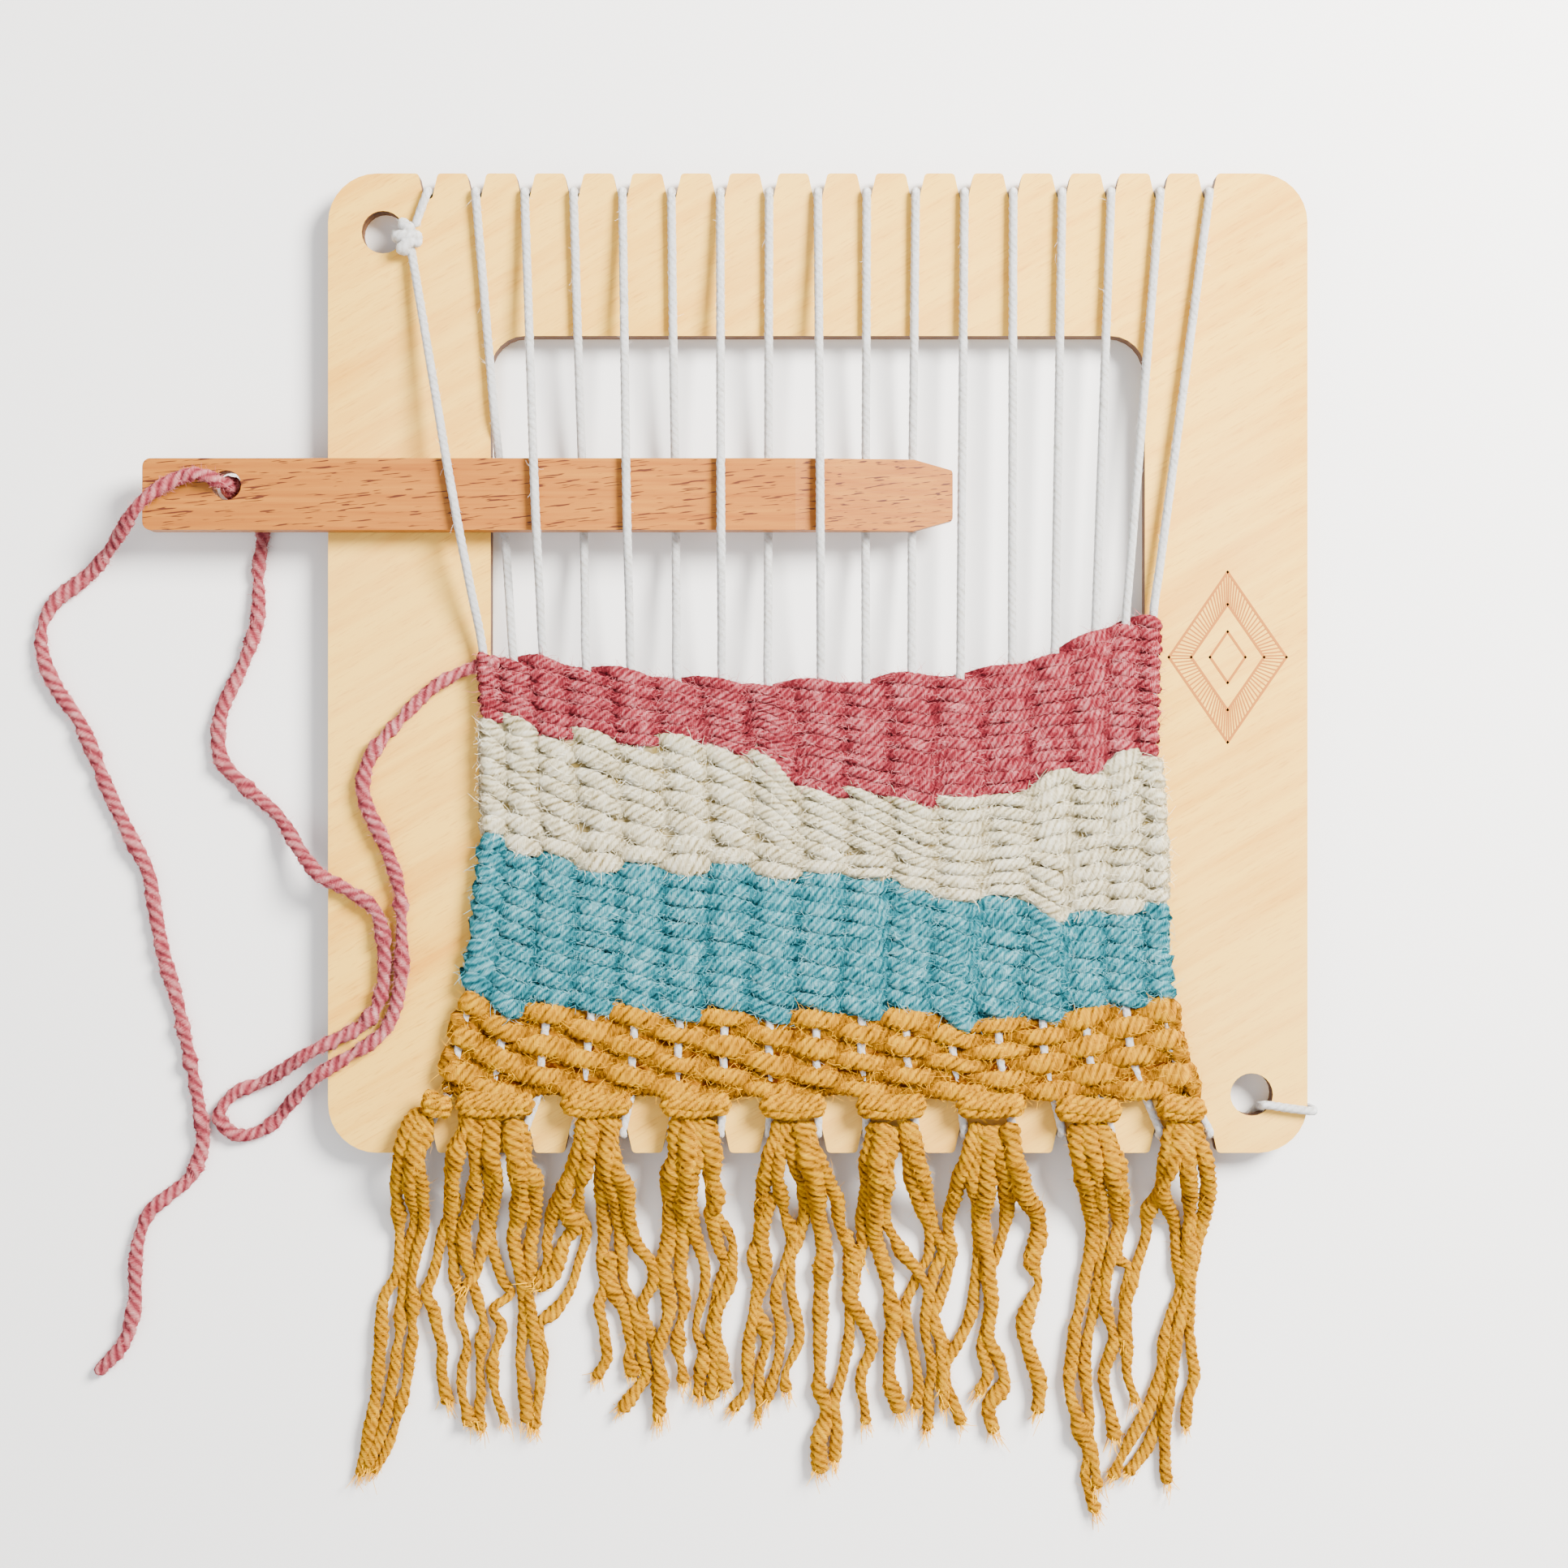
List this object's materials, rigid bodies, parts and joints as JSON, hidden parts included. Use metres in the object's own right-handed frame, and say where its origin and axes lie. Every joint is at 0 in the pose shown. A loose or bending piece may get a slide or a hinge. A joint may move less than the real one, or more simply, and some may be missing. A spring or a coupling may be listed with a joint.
{
  "type": "weaving loom",
  "caption": "Small notched wooden frame loom lying flat, with a half-finished banded weaving, a tassel fringe and a needle carrying the working yarn.",
  "frame": {"origin": "on the table, under the middle of the object's footprint without the loose working yarn", "axes": "+X to the right along the needle, +Y up the warp from the fringe to the top bar, +Z out of the loom's face"},
  "size_m": [0.2633, 0.2753, 0.015],
  "materials": {
    "birch_plywood": "bare birch plywood with laser-browned edges",
    "beech": "smooth sanded beech with short dark flecks",
    "warp_cotton": "matt twisted cotton string",
    "pink_yarn": "soft two-ply wool",
    "cream_yarn": "soft two-ply wool",
    "blue_yarn": "soft two-ply wool",
    "mustard_yarn": "soft two-ply wool"
  },
  "bodies": {
    "loom": {"loom_frame": "birch_plywood", "warp_run_01": "warp_cotton", "warp_run_02": "warp_cotton", "warp_run_03": "warp_cotton", "warp_run_04": "warp_cotton", "warp_run_05": "warp_cotton", "warp_run_06": "warp_cotton", "warp_run_07": "warp_cotton", "warp_run_08": "warp_cotton", "warp_run_09": "warp_cotton", "warp_run_10": "warp_cotton", "warp_run_11": "warp_cotton", "warp_run_12": "warp_cotton", "warp_run_13": "warp_cotton", "warp_run_14": "warp_cotton", "warp_run_15": "warp_cotton", "warp_run_16": "warp_cotton", "warp_run_17": "warp_cotton", "warp_turn_bottom_01": "warp_cotton", "warp_turn_bottom_03": "warp_cotton", "warp_turn_bottom_05": "warp_cotton", "warp_turn_bottom_07": "warp_cotton", "warp_turn_bottom_09": "warp_cotton", "warp_turn_bottom_11": "warp_cotton", "warp_turn_bottom_13": "warp_cotton", "warp_turn_bottom_15": "warp_cotton", "warp_turn_top_02": "warp_cotton", "warp_turn_top_04": "warp_cotton", "warp_turn_top_06": "warp_cotton", "warp_turn_top_08": "warp_cotton", "warp_turn_top_10": "warp_cotton", "warp_turn_top_12": "warp_cotton", "warp_turn_top_14": "warp_cotton", "warp_turn_top_16": "warp_cotton", "warp_start_knot": "warp_cotton", "warp_start_loop": "warp_cotton", "warp_end_tail": "warp_cotton", "warp_end_knot": "warp_cotton", "pink_band": "pink_yarn", "cream_band": "cream_yarn", "blue_band": "blue_yarn", "mustard_band": "mustard_yarn", "fringe_tassel_1": "mustard_yarn", "fringe_tassel_2": "mustard_yarn", "fringe_tassel_3": "mustard_yarn", "fringe_tassel_4": "mustard_yarn", "fringe_tassel_5": "mustard_yarn", "fringe_tassel_6": "mustard_yarn", "fringe_tassel_7": "mustard_yarn", "fringe_tassel_8": "mustard_yarn", "fringe_tassel_9": "mustard_yarn", "working_yarn": "pink_yarn"},
    "needle": {"weaving_needle": "beech", "yarn_tail": "pink_yarn"}
  },
  "joints": [
    {"name": "needle_slide", "type": "slide", "parent": "loom", "child": "needle", "axis": [1, 0, 0], "range_m": [-0.104, 0]}
  ]
}
